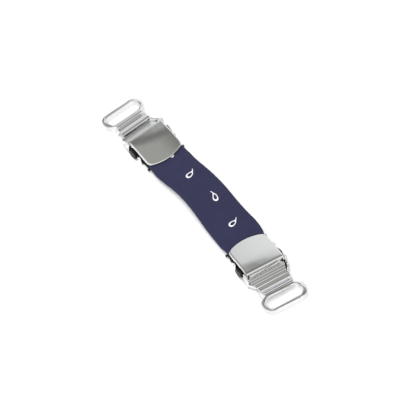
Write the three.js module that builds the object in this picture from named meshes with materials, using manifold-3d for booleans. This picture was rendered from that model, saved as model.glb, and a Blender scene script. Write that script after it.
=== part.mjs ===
// Shirt stay: a short folded cloth band, gripped at each end by a plated lever clasp with a strap ring.
// Millimetres, +Z up. +X runs along the band, from clasp a to clasp b, and the stay lies on z = 0.
// Each clasp is drawn in a frame of its own: +X points from its lever's straight edge to the band's
// middle, Y runs across the band, and z = 0 is the surface that the stay lies on.
import * as THREE from 'three';
import { mergeVertices } from 'three/addons/utils/BufferGeometryUtils.js';
import Module from 'manifold-3d';

const wasm = await Module();
wasm.setup();

const clearance = 0.3; // between neighbouring pieces
const steel = 1.0; // thickness of the stamped and plated sheet
const edge = 0.25; // rounding of a cut sheet edge

const stay = {
  leverSpan: 131.5, // between the straight edges of the two levers
  turnA: 4.0, // how far each clasp is turned on the surface, in degrees
  turnB: 5.0,
  offsetB: 1.2, // clasp b lies this far to +Y of clasp a
};

const lever = {
  width: 28.4,
  length: 26.2, // straight edge to the middle of the curved edge
  curveDepth: 3.4, // how far the curved edge bows out over its width
  cornerRadius: 4.5,
  pitch: 9.3, // the closed lever slopes down towards the band, in degrees
  bendRadius: 1.4, // outer bend from the plate into the leg
  overPivot: 2.9, // top of the plate above the pivot
  legReach: 2.4, // pivot to the tips of the teeth
  legWidth: 25,
  legThickness: 1.2,
  teeth: 12,
  toothDepth: 0.7,
  skirtLength: 18.0, // turned-down rim along each side
  skirtDepth: 0.9,
  skirtThickness: 0.9,
};

const pivot = { x: 0.1, z: 6.5, radius: 1.0, inset: 1.2 };

const base = {
  halfWidth: lever.width / 2 + clearance, // inner faces of the upright tabs
  front: 22.0,
  shoulder: -3.8, // where the floor starts to narrow
  neck: -7.2, // end of the floor, where the sheet folds up
  neckHalfWidth: 12.3,
  webHeight: 3.9,
  earRadius: 2.5,
  earBack: -4.4,
  humpX: 13.2, // low tab beside the lever, with a small hole
  humpRadius: 2.1,
  humpTop: 5.5,
  humpHole: 0.6,
  lugFromRing: 8.4, // rounded lug that hangs from each shoulder, behind the middle of the slot
  lugRadius: 2.15,
  lugLean: 16, // its foot leans outwards, in degrees
};

const ring = {
  slotWidth: 25.6,
  slotLength: 8.1,
  slotCorner: 3.3,
  middle: -22.75,
  side: 3.65, // beside the slot
  rim: 2.5, // beyond the slot
  bar: 3.2, // between the slot and the folded neck
  topAtMiddle: 4.4,
  pitch: 3.0, // slopes down to its outer end, in degrees
  thickness: 1.9,
  round: 0.8,
};

// the neck has a broad ridge and a groove: share of the way from the floor to the ring's bar, and of its rise
const neckFolds = [
  { along: -0.12, height: 0.0 },
  { along: 0.0, height: 0.0 },
  { along: 0.1, height: 0.6 },
  { along: 0.37, height: 0.96 },
  { along: 0.6, height: 0.83 },
  { along: 0.78, height: 0.3 },
  { along: 0.98, height: 1.0 },
  { along: 1.15, height: 1.03 },
];

const grip = {
  floorBottom: steel + clearance,
  thickness: 0.8,
  back: 3.0,
  front: 23.4,
  flankFrom: 3.3, // lens-shaped flank that shows beside the lever
  flankTo: 10.6,
  flankTop: 5.7,
  flankBottom: 0.4,
  flankInset: 0.4, // base tab's inner face to the flank's
  flankThickness: 1.2,
  cornerRadius: 0.7, // rounded jaw corner at the mouth
  cornerTop: 2.8,
};

const band = {
  width: 28.2,
  gripWidth: 27.2, // gathered a little inside the clasps
  thickness: 1.9,
  gripThickness: 1.3,
  end: 0.1, // from the straight edge, its end under the teeth
  held: 23.5, // from the straight edge, how far the clasp holds it straight
  rise: 2.35, // of its middle, over its height in the clasps
  sway: 1.65, // of its middle, to +Y
  waveHeight: 0.2, // slight ripple of the two folded edges
  waves: 3.5,
  stations: 48,
  aroundSteps: 20,
  squareness: 4.5, // exponent of the rounded section
};

// how the band lies, by share of the way between the clasps: shares of its rise, sway and width
const bandLie = [
  { along: 0.0, rise: 0.0, sway: 0.0, width: band.gripWidth / band.width },
  { along: 0.087, rise: 0.17, sway: -0.12, width: 1.0 },
  { along: 0.18, rise: 0.51, sway: 0.18, width: 0.968 },
  { along: 0.264, rise: 0.85, sway: 0.61, width: 0.954 },
  { along: 0.406, rise: 1.0, sway: 1.0, width: 0.954 },
  { along: 0.524, rise: 0.89, sway: 1.0, width: 0.986 },
  { along: 0.642, rise: 0.6, sway: 0.76, width: 1.004 },
  { along: 0.76, rise: 0.23, sway: 0.48, width: 1.032 },
  { along: 0.878, rise: 0.04, sway: 0.48, width: 1.064 },
  { along: 0.95, rise: 0.0, sway: 0.36, width: 1.05 },
  { along: 1.0, rise: 0.0, sway: 0.0, width: band.gripWidth / band.width },
];

const chrome = { color: 0xb9bcbe, roughness: 0.12, metalness: 1.0 };
const blackGrip = { color: 0x1b1a1c, roughness: 0.6, metalness: 0.0 };
const navyCloth = { color: 0x23274d, roughness: 0.9, metalness: 0.0 };

const rad = THREE.MathUtils.degToRad;

function toSolid(geometry, matrix) {
  const plain = geometry.clone();
  plain.deleteAttribute('normal');
  plain.deleteAttribute('uv');
  if (matrix) plain.applyMatrix4(matrix);
  const merged = mergeVertices(plain, 1e-4);
  return new wasm.Manifold(new wasm.Mesh({
    numProp: 3,
    vertProperties: new Float32Array(merged.attributes.position.array),
    triVerts: new Uint32Array(merged.index.array),
  }));
}

function toGeometry(solid) {
  const mesh = solid.getMesh();
  const geometry = new THREE.BufferGeometry();
  geometry.setAttribute('position', new THREE.BufferAttribute(new Float32Array(mesh.vertProperties), 3));
  geometry.setIndex(new THREE.BufferAttribute(new Uint32Array(mesh.triVerts), 1));
  geometry.computeVertexNormals();
  return geometry;
}

function joined(solids) {
  return solids.reduce((sum, solid) => sum.add(solid));
}

const move = (x, y, z) => new THREE.Matrix4().makeTranslation(x, y, z);
const turnY = (degrees) => new THREE.Matrix4().makeRotationY(rad(degrees));

// a shape drawn in x and y, with its underside at z = bottom
function flatPlate(shape, bottom, thickness, round, curveSegments = 8) {
  const geometry = new THREE.ExtrudeGeometry(shape, {
    depth: thickness - 2 * round,
    curveSegments,
    bevelEnabled: round > 0,
    bevelSize: round,
    bevelThickness: round,
    bevelOffset: -round,
    bevelSegments: 2,
  });
  return toSolid(geometry, move(0, 0, bottom + round));
}

// a shape drawn in x and z, between y = from and y = to
function uprightPlate(shape, from, to, curveSegments = 6) {
  const geometry = new THREE.ExtrudeGeometry(shape, { depth: to - from, bevelEnabled: false, curveSegments });
  const standing = new THREE.Matrix4().makeRotationX(Math.PI / 2);
  return toSolid(geometry, move(0, to, 0).multiply(standing));
}

// the same upright plate on both sides of the clasp
function uprightPair(shape, from, to, curveSegments) {
  return [uprightPlate(shape, from, to, curveSegments), uprightPlate(shape, -to, -from, curveSegments)];
}

function polygon(points) {
  return new THREE.Shape(points.map(([x, y]) => new THREE.Vector2(x, y)));
}

function uprightDisc(x, z, radius, from, to, sides = 16) {
  const geometry = new THREE.CylinderGeometry(radius, radius, to - from, sides);
  return toSolid(geometry, move(x, (from + to) / 2, z));
}

// Lever: drawn with the pivot at the origin and the plate level, then pitched.
function plateOutline() {
  const half = lever.width / 2;
  const start = -lever.legThickness / 2 + lever.bendRadius;
  const apex = -lever.legThickness / 2 + lever.length;
  const curve = (half ** 2 + lever.curveDepth ** 2) / (2 * lever.curveDepth);
  const corner = lever.cornerRadius;
  const curveX = apex - curve;
  const cornerX = curveX + Math.sqrt((curve - corner) ** 2 - (half - corner) ** 2);
  const meet = Math.atan2(half - corner, cornerX - curveX);
  const shape = new THREE.Shape();
  shape.moveTo(start, -half);
  shape.lineTo(cornerX, -half);
  shape.absarc(cornerX, corner - half, corner, -Math.PI / 2, -meet);
  shape.absarc(curveX, 0, curve, -meet, meet);
  shape.absarc(cornerX, half - corner, corner, meet, Math.PI / 2);
  shape.lineTo(start, half);
  shape.closePath();
  return shape;
}

// the plate's thickness carried round the bend and a little way down
function bendSection() {
  const outer = -lever.legThickness / 2;
  const top = lever.overPivot;
  const radius = lever.bendRadius;
  const foot = pivot.radius + clearance + 0.2;
  const shape = new THREE.Shape();
  shape.moveTo(outer, foot);
  shape.lineTo(outer + steel, foot);
  shape.lineTo(outer + steel, top - radius);
  shape.absarc(outer + radius, top - radius, radius - steel, Math.PI, Math.PI / 2, true);
  shape.lineTo(outer + radius + steel, top - steel);
  shape.lineTo(outer + radius + steel, top);
  shape.lineTo(outer + radius, top);
  shape.absarc(outer + radius, top - radius, radius, Math.PI / 2, Math.PI, false);
  shape.closePath();
  return shape;
}

function legSolid() {
  const half = lever.legThickness / 2;
  const top = lever.overPivot - steel;
  const section = polygon([[-half, -lever.legReach], [half, -lever.legReach], [half, top], [-half, top]]);
  let leg = uprightPlate(section, -lever.legWidth / 2, lever.legWidth / 2);
  const pitch = lever.legWidth / lever.teeth;
  for (let i = 1; i < lever.teeth; i += 1) {
    const y = -lever.legWidth / 2 + i * pitch;
    const notch = new THREE.CylinderGeometry(lever.toothDepth, lever.toothDepth, 3 * half, 4);
    const across = new THREE.Matrix4().makeRotationZ(Math.PI / 2);
    leg = leg.subtract(toSolid(notch, move(0, y, -lever.legReach).multiply(across)));
  }
  return leg;
}

function leverSolid() {
  const half = lever.width / 2;
  const top = lever.overPivot;
  const start = -lever.legThickness / 2;
  const plate = flatPlate(plateOutline(), top - steel, steel, edge);
  const bend = uprightPlate(bendSection(), -half + edge, half - edge);
  const skirtEnd = start + lever.skirtLength;
  const skirt = polygon([
    [start + steel, top - steel - lever.skirtDepth],
    [skirtEnd - 3, top - steel - lever.skirtDepth],
    [skirtEnd, top - steel / 2],
    [start + steel, top - steel / 2],
  ]);
  const skirts = uprightPair(skirt, half - lever.skirtThickness, half - edge / 2);
  const cheek = new THREE.Shape();
  const wide = pivot.radius + clearance + 0.9;
  cheek.moveTo(-lever.legThickness / 2, top - steel / 2);
  cheek.lineTo(-lever.legThickness / 2, 0.6);
  cheek.absarc(wide - lever.legThickness / 2 - 0.3, 0, wide, Math.PI * 0.92, 0, false);
  cheek.lineTo(2 * wide + 1.0, top - steel / 2);
  cheek.closePath();
  const cheeks = uprightPair(cheek, half - lever.skirtThickness, half - edge / 2);
  const solid = joined([plate, bend, legSolid(), ...skirts, ...cheeks]);
  const bore = uprightDisc(0, 0, pivot.radius + clearance, -half - 1, half + 1);
  const keep = uprightDisc(0, 0, pivot.radius + clearance, -lever.legWidth / 2, lever.legWidth / 2);
  return solid.subtract(bore.subtract(keep));
}

// Base frame: one stamping with its floor, two ears, two low tabs, the webs, the riser and the ring.
function floorOutline() {
  const half = base.halfWidth + 0.1;
  const corner = 2.4;
  return polygon([
    [base.neck, -base.neckHalfWidth], [base.shoulder, -half],
    [base.front - corner, -half], [base.front, -half + corner],
    [base.front, half - corner], [base.front - corner, half],
    [base.shoulder, half], [base.neck, base.neckHalfWidth],
  ]);
}

function earOutline() {
  const shape = new THREE.Shape();
  const { earRadius: r, earBack: back } = base;
  shape.moveTo(back, 0);
  shape.lineTo(pivot.x + r, 0);
  shape.lineTo(pivot.x + r, pivot.z);
  shape.absarc(pivot.x, pivot.z, r, 0, Math.PI * 0.62, false);
  shape.lineTo(back + 0.4, base.webHeight + 2.2);
  shape.lineTo(back, base.webHeight);
  shape.closePath();
  return shape;
}

function humpOutline() {
  const shape = new THREE.Shape();
  const { humpX: x, humpRadius: r, humpTop: top } = base;
  shape.moveTo(x - r - 1.0, 0);
  shape.lineTo(x + r + 1.0, 0);
  shape.lineTo(x + r, steel);
  shape.absarc(x, top - r, r, 0, Math.PI, false);
  shape.lineTo(x - r, steel);
  shape.closePath();
  const hole = new THREE.Path();
  hole.absarc(x, top - r, base.humpHole, 0, 2 * Math.PI, true);
  shape.holes.push(hole);
  return shape;
}

// a web stands on the narrowing edge of the floor, between an ear and the neck
function webOutline(side) {
  const half = base.halfWidth;
  const points = [
    [base.neck - 0.6, base.neckHalfWidth - steel], [base.shoulder - 0.4, half],
    [base.shoulder - 0.4, half + steel], [base.neck - 0.6, base.neckHalfWidth],
  ].map(([x, y]) => [x, side * y]);
  return polygon(side > 0 ? points : points.reverse());
}

// the ring's side of the folded neck, from the middle of the slot
const barEnd = ring.slotLength / 2 + ring.bar;

function ringOutline() {
  const end = ring.slotLength / 2 + ring.rim;
  const out = ring.slotWidth / 2 + ring.side - end;
  const narrow = base.neckHalfWidth;
  const leave = rad(48); // where the round end runs over into the neck
  const from = new THREE.Vector2(end * Math.cos(leave), out + end * Math.sin(leave));
  const pull = (barEnd - from.x) / 2;
  const control = [from.x + pull * Math.sin(leave), from.y - pull * Math.cos(leave), barEnd - pull, narrow + pull / 4];
  const shape = new THREE.Shape();
  shape.moveTo(barEnd, narrow);
  shape.bezierCurveTo(control[2], control[3], control[0], control[1], from.x, from.y);
  shape.absarc(0, out, end, leave, Math.PI, false);
  shape.absarc(0, -out, end, Math.PI, 2 * Math.PI - leave, false);
  shape.bezierCurveTo(control[0], -control[1], control[2], -control[3], barEnd, -narrow);
  shape.closePath();
  const r = ring.slotCorner;
  const x = ring.slotLength / 2 - r;
  const y = ring.slotWidth / 2 - r;
  const slot = new THREE.Path();
  slot.absarc(-x, y, r, Math.PI, Math.PI / 2, true);
  slot.absarc(x, y, r, Math.PI / 2, 0, true);
  slot.absarc(x, -y, r, 0, -Math.PI / 2, true);
  slot.absarc(-x, -y, r, -Math.PI / 2, -Math.PI, true);
  slot.closePath();
  shape.holes.push(slot);
  return shape;
}

function ringSolid() {
  const place = move(ring.middle, 0, ring.topAtMiddle).multiply(turnY(-ring.pitch));
  const geometry = new THREE.ExtrudeGeometry(ringOutline(), {
    depth: ring.thickness - 2 * ring.round,
    curveSegments: 9,
    bevelEnabled: true,
    bevelSize: ring.round,
    bevelThickness: ring.round,
    bevelOffset: -ring.round,
    bevelSegments: 2,
  });
  return toSolid(geometry, place.multiply(move(0, 0, ring.round - ring.thickness)));
}

// height of the ring's top, this far behind the middle of its slot
const ringTop = (behind) => ring.topAtMiddle + behind * Math.sin(rad(ring.pitch));

// the folded neck lifts the sheet from the floor to the ring's bar
function neckOutline() {
  const bottom = steel / 2;
  const top = ringTop(barEnd) - steel / 2 - 0.05;
  const middle = new THREE.CatmullRomCurve3(neckFolds.map(({ along, height }) => new THREE.Vector3(
    THREE.MathUtils.lerp(base.neck, ring.middle + barEnd, along),
    0,
    THREE.MathUtils.lerp(bottom, top, height),
  )), false, 'centripetal');
  const upper = [];
  const lower = [];
  const steps = 34;
  for (let i = 0; i <= steps; i += 1) {
    const point = middle.getPoint(i / steps);
    const tangent = middle.getTangent(i / steps);
    const side = new THREE.Vector2(tangent.z, -tangent.x).multiplyScalar(steel / 2);
    upper.push([point.x + side.x, Math.max(point.z + side.y, 0)]);
    lower.unshift([point.x - side.x, Math.max(point.z - side.y, 0)]);
  }
  return polygon([...upper, ...lower]);
}

function baseSolid() {
  const half = base.halfWidth;
  const floor = flatPlate(floorOutline(), 0, steel, 0);
  const ears = uprightPair(earOutline(), half, half + steel);
  const humps = uprightPair(humpOutline(), half, half + steel);
  const webs = [1, -1].map((side) => flatPlate(webOutline(side), 0, base.webHeight, 0));
  const neck = uprightPlate(neckOutline(), -base.neckHalfWidth + 0.1, base.neckHalfWidth - 0.1);
  const studs = [1, -1].map((side) => {
    const ends = [side * (half - pivot.inset), side * (half + steel + 0.5)].sort((a, b) => a - b);
    return uprightDisc(pivot.x, pivot.z, pivot.radius, ends[0], ends[1]);
  });
  const lugs = [1, -1].map((side) => {
    const disc = new THREE.CylinderGeometry(base.lugRadius, base.lugRadius, steel, 20);
    const lean = new THREE.Matrix4().makeRotationX(side * rad(base.lugLean));
    const y = side * (base.neckHalfWidth + steel / 2);
    return toSolid(disc, move(ring.middle + base.lugFromRing, y, base.lugRadius + edge).multiply(lean));
  });
  return joined([floor, ...ears, ...humps, ...webs, neck, ...studs, ...lugs, ringSolid()]);
}

// Grip: a black liner under the band, with a flank on each side and rounded jaw corners.
function gripOutline() {
  const inner = base.halfWidth - clearance;
  const outer = base.halfWidth + grip.flankInset + grip.flankThickness / 2;
  const jaw = grip.front - 2 * grip.cornerRadius;
  const side = [
    [grip.back, inner], [grip.flankFrom + 1, inner], [grip.flankFrom + 1, outer],
    [grip.flankTo - 1, outer], [grip.flankTo - 1, inner], [jaw, inner], [jaw, outer], [grip.front, outer],
  ];
  return polygon([...side.map(([x, y]) => [x, -y]), ...side.reverse()]);
}

function flankOutline() {
  const { flankFrom: from, flankTo: to, flankTop: top, flankBottom: bottom } = grip;
  const shape = new THREE.Shape();
  shape.moveTo(from, (top + bottom) / 2 + 0.6);
  shape.quadraticCurveTo(from + 0.6, bottom, (from + to) / 2 + 0.6, bottom);
  shape.quadraticCurveTo(to - 0.3, bottom, to, (top + bottom) / 2 - 0.6);
  shape.quadraticCurveTo((from + to) / 2 + 2, top - 0.6, (from + to) / 2 - 1, top);
  shape.quadraticCurveTo(from + 0.2, top, from, (top + bottom) / 2 + 0.6);
  return shape;
}

function gripSolid() {
  const floor = flatPlate(gripOutline(), grip.floorBottom, grip.thickness, 0);
  const flankY = base.halfWidth + grip.flankInset;
  const flanks = uprightPair(flankOutline(), flankY, flankY + grip.flankThickness, 5);
  const r = grip.cornerRadius;
  const cornerX = grip.front - r;
  const cornerY = base.halfWidth - clearance + r;
  const corners = [1, -1].map((side) => {
    const height = grip.cornerTop - grip.floorBottom - r;
    const post = new THREE.CylinderGeometry(r, r, height, 12);
    const upright = new THREE.Matrix4().makeRotationX(Math.PI / 2);
    const stem = toSolid(post, move(cornerX, side * cornerY, grip.floorBottom + height / 2).multiply(upright));
    const cap = new THREE.SphereGeometry(r, 12, 8);
    const dome = toSolid(cap, move(cornerX, side * cornerY, grip.cornerTop - r).multiply(upright));
    return stem.add(dome);
  });
  return joined([floor, ...flanks, ...corners]);
}

// where a clasp's own point (x, y) falls on the surface
function claspMatrix(end) {
  const half = stay.leverSpan / 2;
  return end === 'a'
    ? move(-half, 0, 0).multiply(new THREE.Matrix4().makeRotationZ(rad(stay.turnA)))
    : move(half, stay.offsetB, 0).multiply(new THREE.Matrix4().makeRotationZ(Math.PI - rad(stay.turnB)));
}

// the band's middle line in a clasp, from its tucked end to where the clasp lets it go
function heldLine(end) {
  const low = grip.floorBottom + grip.thickness + clearance + band.gripThickness / 2;
  return [0, 0.38, 0.7, 1].map((share) => {
    const x = THREE.MathUtils.lerp(band.end, band.held, share);
    return new THREE.Vector3(x, 0, low).applyMatrix4(claspMatrix(end));
  });
}

// straight inside each clasp, raised and swayed between them
function bandCurve() {
  const atA = heldLine('a');
  const atB = heldLine('b').reverse();
  const between = bandLie.slice(1, -1).map(({ along, rise, sway }) => {
    const point = atA[atA.length - 1].clone().lerp(atB[0], along);
    point.y += sway * band.sway;
    point.z += rise * band.rise;
    return point;
  });
  return new THREE.CatmullRomCurve3([...atA, ...between, ...atB], false, 'centripetal');
}

// the band's width at this x, by the table between the clasps
function bandWidth(x, from, to) {
  const along = THREE.MathUtils.clamp((x - from) / (to - from), 0, 1);
  const next = Math.max(1, bandLie.findIndex((row) => row.along >= along));
  const [low, high] = [bandLie[next - 1], bandLie[next]];
  return band.width * THREE.MathUtils.mapLinear(along, low.along, high.along, low.width, high.width);
}

function bandGeometry() {
  const curve = bandCurve();
  const length = curve.getLength();
  const [from, to] = ['a', 'b'].map((end) => heldLine(end).pop().x);
  const geometry = new THREE.CylinderGeometry(1, 1, 1, band.aroundSteps, band.stations);
  const position = geometry.attributes.position;
  const power = 2 / band.squareness;
  const tucked = lever.length - band.end - 1;
  for (let i = 0; i < position.count; i += 1) {
    const share = position.getY(i) + 0.5;
    const along = share * length;
    const open = THREE.MathUtils.smoothstep(Math.min(along, length - along), tucked, tucked + 9);
    const point = curve.getPointAt(share);
    const tangent = curve.getTangentAt(share);
    const across = new THREE.Vector3(tangent.y, -tangent.x, 0).normalize();
    const up = new THREE.Vector3().crossVectors(across, tangent);
    const c = position.getX(i);
    const s = position.getZ(i);
    const side = Math.sign(c) * Math.abs(c) ** power;
    const face = Math.sign(s) * Math.abs(s) ** power;
    const ripple = open * band.waveHeight * Math.sin(2 * Math.PI * band.waves * share + 2 * Math.sign(side));
    const width = bandWidth(point.x, from, to) / 2;
    const thick = THREE.MathUtils.lerp(band.gripThickness, band.thickness, open) / 2;
    point.addScaledVector(across, side * (width + ripple * 0.6));
    point.addScaledVector(up, face * thick + ripple * side * side * 0.8);
    position.setXYZ(i, point.x, point.y, point.z);
  }
  return mergeVertices(stripped(geometry), 1e-4);
}

function stripped(geometry) {
  geometry.deleteAttribute('normal');
  geometry.deleteAttribute('uv');
  return geometry;
}

function named(name, geometry, look) {
  const mesh = new THREE.Mesh(geometry, new THREE.MeshStandardMaterial(look));
  mesh.name = name;
  return mesh;
}

function clasp(end) {
  const group = new THREE.Group();
  claspMatrix(end).decompose(group.position, group.quaternion, group.scale);
  const hinge = new THREE.Group();
  hinge.position.set(pivot.x, 0, pivot.z);
  hinge.rotation.y = rad(lever.pitch);
  hinge.add(named(`lever_${end}`, toGeometry(leverSolid()), chrome));
  group.add(named(`base_frame_${end}`, toGeometry(baseSolid()), chrome));
  group.add(named(`grip_${end}`, toGeometry(gripSolid()), blackGrip));
  group.add(hinge);
  return group;
}

const shirtStay = new THREE.Group();
shirtStay.add(named('cloth_band', bandGeometry(), navyCloth));
shirtStay.add(clasp('a'), clasp('b'));
shirtStay.updateMatrixWorld(true);

// the origin is the bottom centre of the whole stay
const reach = new THREE.Box3().setFromObject(shirtStay, true);
const centre = reach.getCenter(new THREE.Vector3());
shirtStay.position.set(-centre.x, -centre.y, -reach.min.z);

export default shirtStay;
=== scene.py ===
# %% [markdown]
# # A shirt stay with two lever clasps
# A shirt stay is a short folded cloth band with a bright clasp at each end. The metal was stamped and
# plated, and the cloth was cut flat and folded, so each gets its own way of modelling here.
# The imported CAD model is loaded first. It is the fixed frame that every piece has to fit.

# %% Load the frame
import math

import bpy
import numpy as np
from mathutils import Matrix, Vector, noise


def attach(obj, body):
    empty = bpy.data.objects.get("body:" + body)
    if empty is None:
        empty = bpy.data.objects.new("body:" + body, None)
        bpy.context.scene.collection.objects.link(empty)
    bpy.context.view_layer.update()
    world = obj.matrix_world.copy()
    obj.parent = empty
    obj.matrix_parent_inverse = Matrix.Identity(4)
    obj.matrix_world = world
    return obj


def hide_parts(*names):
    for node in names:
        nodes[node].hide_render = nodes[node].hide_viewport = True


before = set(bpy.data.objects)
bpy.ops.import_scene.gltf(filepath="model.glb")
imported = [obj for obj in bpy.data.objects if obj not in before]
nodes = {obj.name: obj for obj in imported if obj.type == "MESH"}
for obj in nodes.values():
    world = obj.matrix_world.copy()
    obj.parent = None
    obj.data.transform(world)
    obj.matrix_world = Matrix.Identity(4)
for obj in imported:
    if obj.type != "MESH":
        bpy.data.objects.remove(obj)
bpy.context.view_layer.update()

print("CAD nodes:", sorted(nodes))

# %% [markdown]
# ## The camera
# The stay lies on a pale table, and the camera looks down on it at 57 degrees from far away, with a
# long lens. A long lens keeps both clasps the same size. The camera is aimed with a tracking
# quaternion, which leaves it without any roll.

# %% Camera
MM = 0.001  # metres
view_centre = Vector((-3.88, 0.23, 0.0)) * MM
view_azimuth, view_height, view_distance = math.radians(-36.3), math.radians(57.0), 1.35
to_camera = Vector(
    (
        math.cos(view_azimuth) * math.cos(view_height),
        math.sin(view_azimuth) * math.cos(view_height),
        math.sin(view_height),
    )
)
camera_data = bpy.data.cameras.new("camera")
camera_data.lens, camera_data.sensor_width = 185.17, 36.0  # mm
camera_data.clip_end = 20.0
camera = bpy.data.objects.new("camera", camera_data)
camera.location = view_centre + to_camera * view_distance
camera.rotation_euler = (-to_camera).to_track_quat("-Z", "Y").to_euler()
bpy.context.scene.collection.objects.link(camera)
bpy.context.scene.camera = camera
print("camera at", tuple(round(c, 3) for c in camera.location))

# %% [markdown]
# ## Shader maths as plain sums
# A material is a web of small nodes. Wiring each by hand hides the idea, so one class wraps a socket
# and lets plus, minus and times signs add the Math nodes. Every other node comes from its node method.

# %% A socket that can be added and multiplied
class Value:
    """A socket of a material. Arithmetic on it adds Math nodes to the same material."""

    def __init__(self, tree, socket=None):
        self.tree, self.socket = tree, socket

    def node(self, kind, settings=None, inputs=None, output=0):
        """A new node with these settings and inputs. The answer is one of its outputs."""
        new = self.tree.nodes.new(kind)
        for name, setting in (settings or {}).items():
            if name == "stops":
                ramp = new.color_ramp
                while len(ramp.elements) < len(setting):
                    ramp.elements.new(0.5)
                for element, (place, colour) in zip(ramp.elements, setting):
                    element.position, element.color = place, (*colour, 1.0)
            else:
                setattr(new, name, setting)
        for name, given in (inputs or {}).items():
            if isinstance(given, Value):
                self.tree.links.new(given.socket, new.inputs[name])
            else:
                new.inputs[name].default_value = given
        return Value(self.tree, new.outputs[output])

    def math(self, operation, *others):
        """This value put through one Math node, with the others as its next inputs."""
        return self.node("ShaderNodeMath", {"operation": operation}, dict(enumerate((self, *others))))

    def __add__(self, other):
        return self.math("ADD", other)

    def __mul__(self, other):
        return self.math("MULTIPLY", other)

    def __sub__(self, other):
        return self.math("SUBTRACT", other)

    def __rsub__(self, other):
        return self.node("ShaderNodeMath", {"operation": "SUBTRACT"}, {0: other, 1: self})

    def __truediv__(self, other):
        return self.math("DIVIDE", other)

    def __abs__(self):
        return self.math("ABSOLUTE")

    __radd__, __rmul__ = __add__, __mul__

    def rises(self, low, high):
        """0 below low, 1 above high, and a straight slope between."""
        return self.node(
            "ShaderNodeMapRange",
            {"clamp": True},
            {"Value": self, "From Min": low, "From Max": high, "To Min": 0.0, "To Max": 1.0},
        )

    def waves(self, scale, detail=2.0, roughness=0.5, stretch=(1.0, 1.0, 1.0)):
        """Noise from 0 to 1 at this place, with so many lumps to a metre."""
        placed = self.node("ShaderNodeMapping", None, {"Vector": self, "Scale": stretch})
        return self.node(
            "ShaderNodeTexNoise",
            None,
            {"Vector": placed, "Scale": scale, "Detail": detail, "Roughness": roughness},
        )

    def colour(self, low, high):
        """A colour from low to high as this goes from 0 to 1."""
        low, high = ((*c, 1.0) if isinstance(c, tuple) else c for c in (low, high))
        return self.node("ShaderNodeMix", {"data_type": "RGBA"}, {0: self, 6: low, 7: high}, output=2)


def new_finish(name):
    """An empty material, and the starting point of its nodes."""
    material = bpy.data.materials.new(name)
    material.use_nodes = True
    material.node_tree.nodes.clear()
    return material, Value(material.node_tree)


def surface(start, settings):
    """The Principled surface with these values, joined to the material's output."""
    shader = start.node("ShaderNodeBsdfPrincipled", None, settings)
    out = start.tree.nodes.new("ShaderNodeOutputMaterial")
    start.tree.links.new(shader.socket, out.inputs["Surface"])


print("shader maths ready")

# %% [markdown]
# ## Floor and light
# Polished metal has no colour of its own: it shows the room. So the room is drawn in the world's
# shader. A big white screen stands low behind the stay, with a dark gap round it, then a grey ceiling,
# and white walls everywhere else. A narrow dark strip near the horizon draws the thin dark lines along
# the metal's rounded edges. The room is drawn by the angle from the middle of the screen. The lamps
# light the floor and the cloth, and the metal doesn't mirror them.

# %% Floor
FLOOR_GAP = 0.05 * MM  # so that the floor and the undersides don't share a plane
bpy.context.scene.view_settings.view_transform = "Standard"
bpy.ops.mesh.primitive_plane_add(size=8.0, location=(0.0, 0.0, -FLOOR_GAP))
floor = bpy.context.object
floor.name = "floor"
paper, start = new_finish("floor_paper")
place = start.node("ShaderNodeTexCoord", output="Object")
shade = place.waves(3.0).colour((0.90, 0.90, 0.90), (0.92, 0.92, 0.92))
surface(start, {"Base Color": shade, "Roughness": 0.9})
floor.data.materials.append(paper)
print("floor ready")

# %% The room
world = bpy.data.worlds.new("room")
bpy.context.scene.world = world
world.use_nodes = True
world.node_tree.nodes.clear()
room = Value(world.node_tree)
direction = room.node("ShaderNodeTexCoord", output="Generated")
SCREEN = (-0.491, 0.817, 0.301)  # towards the middle of the screen
towards = room.node(
    "ShaderNodeVectorMath", {"operation": "DOT_PRODUCT"}, {0: direction, 1: SCREEN}, output="Value"
)


def grey(brightness, blue=0.97):
    """A grey of this brightness, with its blue scaled to make it warmer or cooler."""
    return (brightness, brightness, brightness * blue)


ROOM = [  # degrees from the middle of the screen, how bright the room is there, and how blue
    (90, 1.0, 0.99),
    (80, 1.0, 0.99),
    (70, 0.40, 0.95),
    (53, 0.40, 0.95),
    (48, 0.22, 0.97),
    (44, 0.21, 0.97),
    (40, 0.72, 1.03),
    (30, 0.90, 1.03),
    (0, 1.0, 1.03),
]
STRIP_LOW, STRIP_HIGH, STRIP = 0.10, 0.16, 0.14  # height of the dark strip's soft edge, and its tone
stops = [(max(0.0, math.cos(math.radians(angle))), grey(bright, blue)) for angle, bright, blue in ROOM]
wall = towards.node("ShaderNodeValToRGB", {"stops": stops}, {0: towards})
height = room.node("ShaderNodeSeparateXYZ", None, {0: direction}, output="Z")
wall = height.rises(STRIP_LOW, STRIP_HIGH).colour(grey(STRIP), wall)
seen = room.node("ShaderNodeLightPath", output="Is Camera Ray").colour(wall, (0.93, 0.93, 0.93))
light = room.node("ShaderNodeBackground", None, {"Color": seen, "Strength": 1.0})
out = world.node_tree.nodes.new("ShaderNodeOutputWorld")
world.node_tree.links.new(light.socket, out.inputs["Surface"])
print("room bands:", len(stops))


# %% Lamps
def soft_lamp(name, azimuth, height, distance, size, power):
    """A square area lamp aimed at the stay."""
    data = bpy.data.lights.new(name, "AREA")
    data.size, data.energy = size, power
    lamp = bpy.data.objects.new(name, data)
    azimuth, height = math.radians(azimuth), math.radians(height)
    way = Vector(
        (math.cos(azimuth) * math.cos(height), math.sin(azimuth) * math.cos(height), math.sin(height))
    )
    lamp.location = way * distance
    lamp.rotation_euler = (-way).to_track_quat("-Z", "Y").to_euler()
    lamp.visible_glossy = False
    bpy.context.scene.collection.objects.link(lamp)


soft_lamp("key_lamp", azimuth=188.0, height=60.0, distance=1.8, size=1.4, power=20.0)
soft_lamp("fill_lamp", azimuth=-60.0, height=65.0, distance=1.8, size=1.8, power=12.0)
print("lamps ready")

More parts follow.
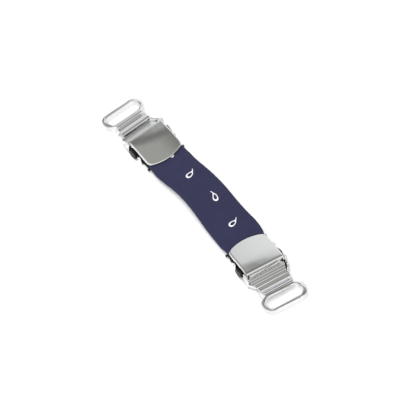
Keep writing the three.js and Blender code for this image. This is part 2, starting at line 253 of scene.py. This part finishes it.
# %% [markdown]
# ## Plated steel
# The clasps are stamped from sheet steel and plated bright. Plating is not a perfect mirror: the sheet
# waves a little, and handling leaves fine rub marks. Two scales of bump and a patchy roughness do that.

# %% Chrome finish
def chrome(name, tint, dullness, swelling):
    """Bright plating of this tint and least roughness, with a sheet that swells this much."""
    material, start = new_finish(name)
    place = start.node("ShaderNodeTexCoord", output="Object")
    patches = place.waves(90.0, detail=3.0)
    rubbed = place.waves(900.0, roughness=0.6, stretch=(1.0, 0.25, 1.0))
    swell = place.waves(130.0, detail=1.0)
    tone = patches.colour(tuple(c * 0.94 for c in tint), tint)
    rough = dullness + patches * 0.05 + rubbed.rises(0.55, 0.8) * 0.05
    normal = start.node(
        "ShaderNodeBump",
        None,
        {"Strength": 0.35, "Distance": 0.00006, "Height": swell * swelling + rubbed * 0.04},
    )
    surface(start, {"Base Color": tone, "Metallic": 1.0, "Roughness": rough, "Normal": normal})
    return material


base_chrome = chrome("base_chrome", tint=(0.89, 0.895, 0.90), dullness=0.06, swelling=0.6)
lever_chrome = chrome("lever_chrome", tint=(0.82, 0.83, 0.81), dullness=0.05, swelling=0.9)
print("chrome finishes:", base_chrome.name, lever_chrome.name)

# %% [markdown]
# ## Moulded grip
# The black liner is moulded with a dull, slightly grained skin, so a fine bump breaks up its light.

# %% Grip finish
black_grip, start = new_finish("black_grip")
place = start.node("ShaderNodeTexCoord", output="Object")
grain = place.waves(4200.0)
patches = place.waves(160.0)
normal = start.node("ShaderNodeBump", None, {"Strength": 0.4, "Distance": 0.00005, "Height": grain})
surface(
    start,
    {
        "Base Color": patches.colour((0.010, 0.009, 0.010), (0.022, 0.019, 0.020)),
        "Roughness": 0.42 + grain * 0.2,
        "Normal": normal,
    },
)
for name, node in nodes.items():
    if name.startswith("grip"):
        for slot in node.material_slots:
            slot.material = black_grip
print("grip finish:", black_grip.name)

# %% [markdown]
# ## Working in a clasp's own frame
# Each clasp is easier to model on its own axes: x runs from the lever's straight edge to the band, y
# across, z up. A matrix then carries it to its place. The lever has one more turn, because it slopes
# down towards the band about its pivot.

# %% Clasp and lever frames
CLASPS = {  # place of each clasp's straight edge, and how it is turned on the table
    "a": (Vector((-65.8234, -0.4622, 0.0)) * MM, math.radians(4.0)),
    "b": (Vector((65.6766, 0.7378, 0.0)) * MM, math.radians(175.0)),
}
PIVOT, PITCH = Vector((0.1, 0.0, 6.5)) * MM, math.radians(9.3)
CLASP_FRAME = {
    end: Matrix.Translation(place) @ Matrix.Rotation(turn, 4, "Z")
    for end, (place, turn) in CLASPS.items()
}
LEVER_FRAME = {
    end: turned @ Matrix.Translation(PIVOT) @ Matrix.Rotation(PITCH, 4, "Y")
    for end, turned in CLASP_FRAME.items()
}


def only(piece):
    """Select this piece alone and make it active."""
    bpy.ops.object.select_all(action="DESELECT")
    piece.select_set(True)
    bpy.context.view_layer.objects.active = piece


def apply(piece, kind, **settings):
    """Add one modifier with these settings and apply it."""
    only(piece)
    added = piece.modifiers.new(kind.lower(), kind)
    for name, setting in settings.items():
        setattr(added, name, setting)
    bpy.ops.object.modifier_apply(modifier=added.name)


def merged_copy(node_name, name):
    """A copy of a CAD node with its loose triangles merged."""
    piece = nodes[node_name].copy()
    piece.data = nodes[node_name].data.copy()
    piece.name = piece.data.name = name
    bpy.context.scene.collection.objects.link(piece)
    only(piece)
    bpy.ops.object.mode_set(mode="EDIT")
    bpy.ops.mesh.select_all(action="SELECT")
    bpy.ops.mesh.remove_doubles(threshold=0.002 * MM)
    bpy.ops.object.mode_set(mode="OBJECT")
    return piece


print("clasp frames ready")

# %% [markdown]
# ## The polished lever
# The real lever is pressed from one sheet. Its face is slightly crowned like a pillow, its rim is
# turned down all round, and its straight edge bends into the toothed leg. A flat plate would show one
# flat tone, so the crown matters most: it bends the reflections. A grid is laid over the lever's
# outline, crowned, and rounded off at its rim. The rim is extruded down, and the sheet gets its
# thickness last.

# %% The lever's outline and crown
# All of these are in mm. Half width, end of the bend, tip of the curved edge, and height of the face.
HALF, START, APEX, TOP = 14.2, 0.8, 25.6, 2.9
# Radius of the two corners, depth of the curved edge, and radii of the bend and of the rim's fold.
CORNER, CURVE_DEPTH, BEND, FOLD = 4.5, 3.4, 1.4, 0.85
CURVE = (HALF**2 + CURVE_DEPTH**2) / (2 * CURVE_DEPTH)  # radius of the curved edge
CURVE_X = APEX - CURVE  # its centre
CORNER_Y = HALF - CORNER  # centre of a corner
CORNER_X = CURVE_X + math.sqrt((CURVE - CORNER) ** 2 - CORNER_Y**2)
MEET_Y = CURVE * CORNER_Y / (CURVE - CORNER)  # where the curved edge passes into a corner
RISE_ANGLE, RISE_RUN = math.radians(10.1), 11.6  # how the crown leaves the straight edge
RISE = math.tan(RISE_ANGLE)
CHORD = RISE * RISE_RUN / 2 / (APEX - START)  # slope from the bend to the tip, taken off again
ARCH, ARCH_RUN = 0.34, 8.7  # height of the arch across, and how far along it is full
TWIST, TWIST_RUN = -0.010, 8.0  # a slight twist at the straight edge, and where it has gone
FOLD_RUN = 1.5  # how far from the bend the fold of the rim is full


def smooth(value):
    """0 up to 0, 1 from 1 on, and an even S between."""
    value = min(max(value, 0.0), 1.0)
    return value * value * (3 - 2 * value)


def outline_end(y):
    """Where the lever's curved edge lies, this far from the middle."""
    y = abs(y)
    if y < MEET_Y:
        return CURVE_X + math.sqrt(CURVE**2 - y**2)
    return CORNER_X + math.sqrt(max(CORNER**2 - (y - CORNER_Y) ** 2, 0.0))


def crown(x, y):
    """Height of the lever's face over the flat plate, in mm."""
    run = min(x - START, RISE_RUN)
    along = RISE * (run - run * run / (2 * RISE_RUN)) - CHORD * (x - START)
    across = ARCH * (1 - (y / HALF) ** 2) * smooth((x - START) / ARCH_RUN)
    return along + across + TWIST * y * (1 - smooth((x - START) / TWIST_RUN))


def fold_drop(x, y):
    """How far the rounded fold has dropped at this place, in mm."""
    from_rim = HALF - abs(y)
    if x > CORNER_X and abs(y) > MEET_Y:
        from_rim = CORNER - math.hypot(x - CORNER_X, abs(y) - CORNER_Y)
    elif x > CORNER_X:
        from_rim = CURVE - math.hypot(x - CURVE_X, y)
    reach = max(FOLD - from_rim, 0.0)
    drop = FOLD - math.sqrt(max(FOLD**2 - reach**2, 0.0))
    return drop * smooth((x - START) / FOLD_RUN)


print("the crown is", round(crown(10, 0), 2), "mm high in the middle")

# %% [markdown]
# The grid's first rows climb the leg and go round the bend, and the others cover the face. Both
# directions are spread by a sine, which packs the rows closely where the rim folds down. That round
# fold draws the bright line round each lever.

# %% Lay a grid over the lever
BEND_ROWS, FACE_ROWS, ACROSS = 8, 30, 36
LEG_FOOT = 1.45  # mm, where the sheet meets the CAD lever's leg
LEG_NARROWER = 0.0176  # share by which the leg is narrower than the face
RIM_DEPTH, SIDE_DEPTH, FLANK_DEPTH = 1.05, 0.5, 0.35  # mm: all round, on the sides, past the leg
FLANK_X, FLANK_RUN, SIDE_END, SIDE_RUN = 1.6, 1.4, 14.5, 3.5  # mm along the lever
TURN = math.radians(90) - (RISE_ANGLE - math.atan(CHORD))  # how far the bend turns


def lever_point(row, side):
    """Place on the lever, in mm, of this row and this share from -1 to 1 across."""
    y = HALF * math.sin(side * math.pi / 2)
    outer = START - BEND
    if row <= BEND_ROWS:
        angle = TURN * row / BEND_ROWS
        y *= 1 - LEG_NARROWER * (1 - smooth(row / BEND_ROWS))
        z = TOP - BEND + BEND * math.sin(angle) if row else LEG_FOOT
        return (outer + BEND * (1 - math.cos(angle)), y, z)
    begin = outer + BEND * (1 - math.cos(TURN))
    share = math.sin((row - BEND_ROWS) / FACE_ROWS * math.pi / 2)
    x = begin + share * (outline_end(y) - begin)
    level = TOP - BEND * (1 - math.sin(TURN)) * (1 - share)
    return (x, y, level + crown(x, y) - crown(begin, y) - fold_drop(x, y))


def lever_sheet(end):
    """The lever's top surface, and the indices of the points on its rim."""
    rows = BEND_ROWS + FACE_ROWS
    bpy.ops.object.select_all(action="DESELECT")
    bpy.ops.mesh.primitive_grid_add(x_subdivisions=rows, y_subdivisions=ACROSS, size=2.0)
    sheet = bpy.context.object
    sheet.name = sheet.data.name = f"polished_lever_{end}"
    rim = set()
    for vertex in sheet.data.vertices:
        row, column = round((vertex.co.x + 1) / 2 * rows), round((vertex.co.y + 1) / 2 * ACROSS)
        if row == rows or (row >= BEND_ROWS and column in (0, ACROSS)):
            rim.add(vertex.index)
        vertex.co = Vector(lever_point(row, column / ACROSS * 2 - 1)) * MM
    return sheet, rim


def turn_down_rim(sheet, rim):
    """Extrude the rim of the face down, deeper along the two sides."""
    mesh = sheet.data
    only(sheet)
    bpy.ops.object.mode_set(mode="EDIT")
    bpy.ops.mesh.select_mode(type="EDGE")
    bpy.ops.mesh.select_all(action="DESELECT")
    bpy.ops.object.mode_set(mode="OBJECT")
    for edge in mesh.edges:
        edge.select = all(v in rim for v in edge.vertices)
    bpy.ops.object.mode_set(mode="EDIT")
    bpy.ops.mesh.extrude_edges_move(TRANSFORM_OT_translate={"value": (0, 0, (FOLD - RIM_DEPTH) * MM)})
    bpy.ops.object.mode_set(mode="OBJECT")
    for vertex in mesh.vertices:
        if vertex.select:
            x = vertex.co.x / MM
            deeper = SIDE_DEPTH + FLANK_DEPTH * smooth((x - FLANK_X) / FLANK_RUN)
            vertex.co.z -= deeper * (1 - smooth((x - SIDE_END) / SIDE_RUN)) * MM


lever_sheets = {}
for end in CLASPS:
    sheet, rim = lever_sheet(end)
    turn_down_rim(sheet, rim)
    lever_sheets[end] = sheet
    print(sheet.name, "rim points:", len(rim))

# %% [markdown]
# Solidify gives the sheet its thickness inwards, and a fine bevel breaks its cut edge. The toothed leg
# and the cheeks are already right in the CAD lever, so they are kept from a merged copy of it, cut off
# just under the bend, and joined to the new face.

# %% Finish the levers
SHEET, BURR = 0.75, 0.2  # mm: thickness of the sheet, and round of its cut edge


def keep_leg(end):
    """The leg and cheeks of the CAD lever, below the bend."""
    leg = merged_copy(f"lever_{end}", f"lever_leg_{end}")
    lever_up = LEVER_FRAME[end].to_3x3() @ Vector((0, 0, 1))
    cut = LEVER_FRAME[end] @ (Vector((0, 0, LEG_FOOT)) * MM)
    bpy.ops.object.mode_set(mode="EDIT")
    bpy.ops.mesh.select_all(action="SELECT")
    bpy.ops.mesh.bisect(plane_co=cut, plane_no=lever_up, use_fill=True, clear_outer=True)
    bpy.ops.object.mode_set(mode="OBJECT")
    return leg


for end, sheet in lever_sheets.items():
    apply(sheet, "SOLIDIFY", thickness=SHEET * MM, offset=-1.0, use_even_offset=True)
    apply(sheet, "BEVEL", width=BURR * MM, segments=2, limit_method="ANGLE", angle_limit=math.radians(40))
    sheet.data.transform(LEVER_FRAME[end])
    leg = keep_leg(end)
    leg.data.materials.clear()
    only(sheet)
    leg.select_set(True)
    bpy.ops.object.join()
    bpy.ops.object.shade_smooth_by_angle(angle=math.radians(35))
    sheet.data.materials.clear()
    sheet.data.materials.append(lever_chrome)
    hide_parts(f"lever_{end}")
    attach(sheet, f"lever_body_{end}")
    print(sheet.name, "faces:", len(sheet.data.polygons))

# %% [markdown]
# ## The base frames
# The frames' shape is right in the CAD, but its facets would show in a mirror finish. A merged copy
# shaded smoothly across shallow angles keeps the shape and loses the facets. Its folds run straight
# across in long thin triangles, which smear the shading, so they are cut into short ones first. In
# front of the lever's leg the real floor climbs in low ribs, and a ribbed sheet adds them.

# %% The ribbed ramp in front of the leg
RAMP_START, RAMP_END = -6.8, -0.3  # mm along the clasp
RAMP_HALF, RAMP_WIDENS = 12.1, 1.9  # mm, half of its width at the neck, and what it gains by the leg
RAMP_WIDE = 0.85  # share of its length at which it has its full width
RAMP_FOOT, RAMP_CLIMB, RAMP_SHEET = 1.15, math.tan(math.radians(15.5)), 0.5
RIBS, RIB = 4, 0.06  # how many, and half of their height in mm


def ribbed_ramp(end):
    """A climbing sheet with low ribs across, in its place in this clasp."""
    bpy.ops.object.select_all(action="DESELECT")
    bpy.ops.mesh.primitive_grid_add(x_subdivisions=36, y_subdivisions=8, size=2.0)
    ramp = bpy.context.object
    for vertex in ramp.data.vertices:
        share, side = (vertex.co.x + 1) / 2, vertex.co.y
        x = RAMP_START + (RAMP_END - RAMP_START) * share
        half = RAMP_HALF + RAMP_WIDENS * min(share / RAMP_WIDE, 1.0)
        rib = RIB * math.sin(2 * math.pi * RIBS * share)
        vertex.co = Vector((x, side * half, RAMP_FOOT + (x - RAMP_START) * RAMP_CLIMB + rib)) * MM
    apply(ramp, "SOLIDIFY", thickness=RAMP_SHEET * MM, offset=-1.0)
    ramp.data.transform(CLASP_FRAME[end])
    return ramp


print("ramp rises", round((RAMP_END - RAMP_START) * RAMP_CLIMB, 2), "mm")

# %% [markdown]
# The pressed ridge of the neck leans: it rises gently towards the lever and then drops steeply. Seen
# from one side it is a broad white band, and from the other a grey one with a light line. The neck
# also has a waist beside the ring.

# %% Shape the neck
RIDGE_X = (-12.5, -10.9, -10.0, -9.0, -8.2, -7.6)  # mm along the clasp
RIDGE_LIFT = (0.0, -0.25, 0.05, 0.35, 0.40, 0.0)  # mm added to the height there
WAIST_X = (-19.2, -17.2, -15.5, -12.0, -8.0)  # mm along the clasp
WAIST_WIDTH = (1.0, 0.84, 0.87, 0.93, 1.0)  # share of the width there


def shape_neck(piece, end):
    """Lift and narrow the neck's sheet, top and bottom alike, and count the points moved."""
    to_clasp = CLASP_FRAME[end].inverted()
    moved = 0
    for vertex in piece.data.vertices:
        place = to_clasp @ vertex.co
        lift = float(np.interp(place.x / MM, RIDGE_X, RIDGE_LIFT))
        width = float(np.interp(place.x / MM, WAIST_X, WAIST_WIDTH))
        vertex.co = CLASP_FRAME[end] @ Vector((place.x, place.y * width, place.z + lift * MM))
        moved += lift != 0.0 or width != 1.0
    return moved


print("the ridge is lifted by up to", max(RIDGE_LIFT), "mm")

# %% Smooth the base frames
CUTS = range(-12, 13, 2)  # mm across the clasp

for end in CLASPS:
    ramp = ribbed_ramp(end)
    plating = merged_copy(f"base_frame_{end}", f"stamped_frame_{end}")
    sideways = CLASP_FRAME[end].to_3x3() @ Vector((0, 1, 0))
    bpy.ops.object.mode_set(mode="EDIT")
    for y in CUTS:
        bpy.ops.mesh.select_all(action="SELECT")
        bpy.ops.mesh.bisect(plane_co=CLASP_FRAME[end] @ (Vector((0, y, 0)) * MM), plane_no=sideways)
    bpy.ops.object.mode_set(mode="OBJECT")
    print("neck points:", shape_neck(plating, end))
    ramp.select_set(True)
    bpy.ops.object.join()
    bpy.ops.object.shade_smooth_by_angle(angle=math.radians(46))
    plating.data.materials.clear()
    plating.data.materials.append(base_chrome)
    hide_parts(f"base_frame_{end}")
    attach(plating, "band_and_frames")
    print(plating.name, "faces:", len(plating.data.polygons))

# %% [markdown]
# ## The cloth band
# The real band is one flat cut of cotton, folded so that its two long edges meet under the middle.
# A folded strap is too thin for a cloth simulation, so its surface is laid out directly: stations along
# the middle line, and at each station the folded outline of the cut, with soft puckers in the folds.

# %% The band's middle line
END, HELD = 0.1, 23.5  # mm: where the cloth ends, and how far it is held straight
GRIPPED, PRESSED = 27.2, 25.6  # mm: the cloth's width at the clasp's mouth, and further in
DEEPER = 6 * MM  # how far behind the mouth the cloth is at its narrowest
LOW = 3.05 * MM  # height of the pinched cloth
LIE = (  # share of the way between the clasps; rise, sway and width there in mm
    (0.087, 0.4, -0.2, 28.2),
    (0.18, 1.2, 0.3, 27.3),
    (0.264, 2.0, 1.0, 26.9),
    (0.406, 2.35, 1.65, 26.9),
    (0.524, 2.1, 1.65, 27.8),
    (0.642, 1.4, 1.25, 28.3),
    (0.76, 0.55, 0.8, 29.1),
    (0.878, 0.1, 0.8, 30.0),
    (0.95, 0.0, 0.6, 29.6),
)


def held_line(end):
    """Places on the middle line inside a clasp, from the cloth's end to the mouth."""
    shares = (0.0, 0.38, 0.7, 1.0)
    return [
        CLASP_FRAME[end] @ Vector(((END + (HELD - END) * share) * MM, 0.0, LOW)) for share in shares
    ]


def middle_line(steps=40):
    """A smooth curve through the clasps and over the rise, as close points, with no overshoot."""
    at_a, at_b = held_line("a"), held_line("b")
    start, stop = at_a[-1], at_b[-1]
    between = [start.lerp(stop, row[0]) + Vector((0.0, row[2], row[1])) * MM for row in LIE]
    knots = at_a + between + at_b[::-1]
    knots = [2 * knots[0] - knots[1], *knots, 2 * knots[-1] - knots[-2]]
    line = []
    for p0, p1, p2, p3 in zip(knots, knots[1:], knots[2:], knots[3:]):
        t0, t1 = 0.0, (p1 - p0).length ** 0.5
        t2 = t1 + (p2 - p1).length ** 0.5
        t3 = t2 + (p3 - p2).length ** 0.5
        for i in range(steps):
            t = t1 + (t2 - t1) * i / steps
            a1 = p0.lerp(p1, t / t1)
            a2 = p1.lerp(p2, (t - t1) / (t2 - t1))
            a3 = p2.lerp(p3, (t - t2) / (t3 - t2))
            b1, b2 = a1.lerp(a2, t / t2), a2.lerp(a3, (t - t1) / (t3 - t1))
            line.append(b1.lerp(b2, (t - t1) / (t2 - t1)))
    return np.array([*line, knots[-2]])


line = middle_line()
reach = np.concatenate([[0.0], np.cumsum(np.linalg.norm(np.diff(line, axis=0), axis=1))])
mouth = [held_line(end)[-1].x for end in "ab"]
width_places = [mouth[0], *(mouth[0] + (mouth[1] - mouth[0]) * row[0] for row in LIE), mouth[1]]
width_places = [mouth[0] - DEEPER, *width_places, mouth[1] + DEEPER]
widths = [PRESSED * MM, GRIPPED * MM, *(row[3] * MM for row in LIE), GRIPPED * MM, PRESSED * MM]
print("the band's middle line is", round(float(reach[-1]) / MM, 1), "mm long")

# %% [markdown]
# The outline at each station starts at one turned edge under the middle, runs out to the fold, over the
# top and back to the other edge. Between the clasps the cloth is full and a little wavy, and in a
# clasp it is pressed flat.

# %% Fold the band
CLOTH = 0.45 * MM  # one layer of the cotton
TUCKED, OPENS = 25.1 * MM, 9 * MM  # from the end to where the cloth begins to open, and while it opens
HALF_THICK = {"pinched": 0.65 * MM, "free": 0.95 * MM}
STATIONS, AROUND = 220, 72
FLATNESS = 2 / 4.5  # power of sine and cosine that makes the outline flat on top with round folds
SEAM = 0.9985  # the two turned edges nearly meet under the middle
WAVE, WAVES = 0.2 * MM, 3.5  # height of the band's waves, and how many there are
PUCKER, CREASE = 0.18 * MM, 0.05 * MM  # heights of the broad puckers and the fine creases


def station(share):
    """The place, the two directions across, half the width, and how free the cloth is there."""
    along = share * reach[-1]
    here = Vector([float(np.interp(along, reach, line[:, k])) for k in range(3)])
    step = 0.8 * MM  # to look ahead and behind for the direction
    ahead = Vector([float(np.interp(along + step, reach, line[:, k])) for k in range(3)])
    behind = Vector([float(np.interp(along - step, reach, line[:, k])) for k in range(3)])
    tangent = (ahead - behind).normalized()
    across = Vector((-tangent.y, tangent.x, 0.0)).normalized()
    nearby = [float(np.interp(here.x + shift * MM, width_places, widths)) for shift in (-2, -1, 0, 1, 2)]
    half = sum(nearby) / len(nearby) / 2
    free = smooth((min(along, reach[-1] - along) - TUCKED) / OPENS)
    return here, across, tangent.cross(across), half, free


def fold_outline(share, turn, half, free, along):
    """Across and up, in metres, of the folded cloth at this turn from -1 to 1, 0 on the top."""
    thick = HALF_THICK["pinched"] + (HALF_THICK["free"] - HALF_THICK["pinched"]) * free
    angle = math.pi / 2 - turn * math.pi * SEAM
    c, s = math.cos(angle), math.sin(angle)
    across = math.copysign(abs(c) ** FLATNESS, c)
    up = math.copysign(abs(s) ** FLATNESS, s)
    wave = free * WAVE * math.sin(2 * math.pi * WAVES * share - 2 * math.copysign(1, across))
    pucker = noise.noise(Vector((along * 95, across * 3.1, up * 2.0))) * PUCKER * free
    pucker += noise.noise(Vector((along * 260, across * 6.0, 7.3 + up))) * CREASE * (0.4 + free)
    out = across * (half + wave * 0.6 + pucker * 0.5)
    return out, up * thick + wave * across * across * 0.8 + pucker * up


COLUMNS = AROUND + 1
points, alongs = [], []
for i in range(STATIONS + 1):
    share = i / STATIONS
    here, across, up, half, free = station(share)
    along = share * reach[-1]
    for j in range(COLUMNS):
        side, lift = fold_outline(share, -1 + 2 * j / AROUND, half, free, along)
        points.append(here + across * side + up * lift)
        alongs.append(along)
corners = (i * COLUMNS + j for i in range(STATIONS) for j in range(AROUND))
faces = [(at, at + 1, at + COLUMNS + 1, at + COLUMNS) for at in corners]
cloth = bpy.data.meshes.new("folded_band")
cloth.from_pydata([tuple(p) for p in points], [], faces)
band = bpy.data.objects.new("folded_band", cloth)
bpy.context.scene.collection.objects.link(band)
print("band:", len(points), "points,", len(faces), "faces")

# %% [markdown]
# A print has to follow the cloth over its folds, so the pattern is laid out on the flat cut. The UV map
# holds centimetres on the cut: u across from the middle of the top, and v along from the middle.

# %% Lay the cut's own measures on the band
TO_CM = 100  # from metres
grid = np.array([tuple(p) for p in points]).reshape(STATIONS + 1, COLUMNS, 3)
girth = np.linalg.norm(np.diff(grid, axis=1), axis=2).cumsum(axis=1)
girth = np.concatenate([np.zeros((STATIONS + 1, 1)), girth], axis=1)
girth -= girth[:, AROUND // 2 : AROUND // 2 + 1]
flat_width = float(girth[STATIONS // 2, -1] - girth[STATIONS // 2, 0])
flat_length = float(reach[-1])
uv = cloth.uv_layers.new(name="cut")
for loop in cloth.loops:
    i, j = divmod(loop.vertex_index, COLUMNS)
    along = alongs[loop.vertex_index] - flat_length / 2
    uv.data[loop.index].uv = (girth[i, j] * TO_CM, along * TO_CM)
print("the flat cut is", round(flat_width / MM, 1), "by", round(flat_length / MM, 1), "mm")

# %% Give the cloth its thickness
apply(band, "SOLIDIFY", thickness=CLOTH, offset=-1.0)
bpy.ops.object.shade_smooth()
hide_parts("cloth_band")
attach(band, "band_and_frames")
print("band faces with thickness:", len(band.data.polygons))

# %% [markdown]
# ## Navy cotton with a drop print
# The weave is too fine to count in a photograph, but close up it is a plain weave of about 25 threads
# to a centimetre. The print is sparse: one small outlined drop with a curled tail, about every two
# centimetres, turned one way and then the other. The outline is drawn by maths on the flat cut.

# %% Cloth finish
navy_cloth, start = new_finish("navy_cloth")
cut = start.node("ShaderNodeUVMap", {"uv_map": "cut"})
u = start.node("ShaderNodeSeparateXYZ", None, {0: cut}, output="X")
v = start.node("ShaderNodeSeparateXYZ", None, {0: cut}, output="Y")
place = start.node("ShaderNodeTexCoord", output="Object")

THREADS = 25.0  # to a centimetre
warp = (u * (THREADS * math.pi)).math("SINE")
weft = (v * (THREADS * math.pi)).math("SINE")
weave = warp * warp + weft * weft
mottle = place.waves(110.0, detail=4.0, roughness=0.6)
fleck = place.waves(900.0, roughness=0.6)
navy = mottle.colour((0.014, 0.015, 0.045), (0.025, 0.026, 0.070))
dull = fleck.rises(0.35, 0.7).colour((0.014, 0.013, 0.040), (0.026, 0.027, 0.070))
body = start.node("ShaderNodeMix", {"data_type": "RGBA"}, {0: 0.4, 6: navy, 7: dull}, output=2)
print("weave:", THREADS, "threads to a centimetre")

# %% The drop print
PERIOD, FIRST = 4.61, 0.34  # cm along the cut for a pair of drops, and the place of the turned one
ROW = 2.9  # cm across the cut from one row of drops to the next
HALFWAY = 2.25  # cm from a turned drop to the upright one
OFF_TURNED, OFF_UPRIGHT = 0.35, 0.16  # cm from the middle of the row
LONG, WIDE, NARROWS = 0.255, 0.138, 1.1  # half of the outline's length and width in cm, and its taper
CURL, CURL_FROM = 1.5, 0.12  # how fast the tail curls, and from where
LOOP_EDGE, STALK_EDGE = (0.024, 0.042), (0.024, 0.040)  # cm from the middle of each line, where it fades
STALK_FROM, STALK_TO = (0.21, 0.24), (0.45, 0.49)  # cm along the drop
row = (u / ROW + 0.5).math("FLOOR")
across = u - row * ROW
along = v - FIRST + row * (PERIOD / 4) + 50 * PERIOD  # the last term keeps it above 0
pair = (along / PERIOD).math("FRACT") * PERIOD  # 0 at a turned drop


def drop(a, b, turn):
    """How white the cloth is at (a, b): an egg-shaped outline with a tail, turned by turn degrees."""
    c, s = math.cos(math.radians(turn)), math.sin(math.radians(turn))
    length = a * c + b * s
    tail = (length - CURL_FROM).math("MAXIMUM", 0.0)
    side = b * c - a * s - tail * tail * CURL
    share_long, share_wide = length / LONG, side / (WIDE * (1 - length * NARROWS))
    ring = (share_long * share_long + share_wide * share_wide).math("SQRT")
    loop = 1 - (abs(ring - 1) * 0.15).rises(*LOOP_EDGE)
    stalk = (1 - abs(side).rises(*STALK_EDGE)) * length.rises(*STALK_FROM)
    stalk = stalk * (1 - length.rises(*STALK_TO))
    return loop.math("MAXIMUM", stalk)


from_turned = (pair / PERIOD + 0.5).math("FRACT") * PERIOD - 0.5 * PERIOD
turned = drop(from_turned, across - OFF_TURNED, turn=159.0)
upright = drop(pair - HALFWAY, across - OFF_UPRIGHT, turn=96.0)
print_mask = turned.math("MAXIMUM", upright)
ink = print_mask.colour(body, (0.80, 0.78, 0.84))
relief = weave * 0.5 + fleck * 0.4 + print_mask * 0.3
normal = start.node("ShaderNodeBump", None, {"Strength": 0.5, "Distance": 0.00008, "Height": relief})
surface(
    start,
    {
        "Base Color": ink,
        "Roughness": 0.82 + fleck * 0.1,
        "Sheen Weight": 0.12,
        "Sheen Roughness": 0.45,
        "Sheen Tint": (0.5, 0.5, 0.9, 1.0),
        "Normal": normal,
    },
)
band.data.materials.clear()
band.data.materials.append(navy_cloth)
print("print and cloth finish ready")
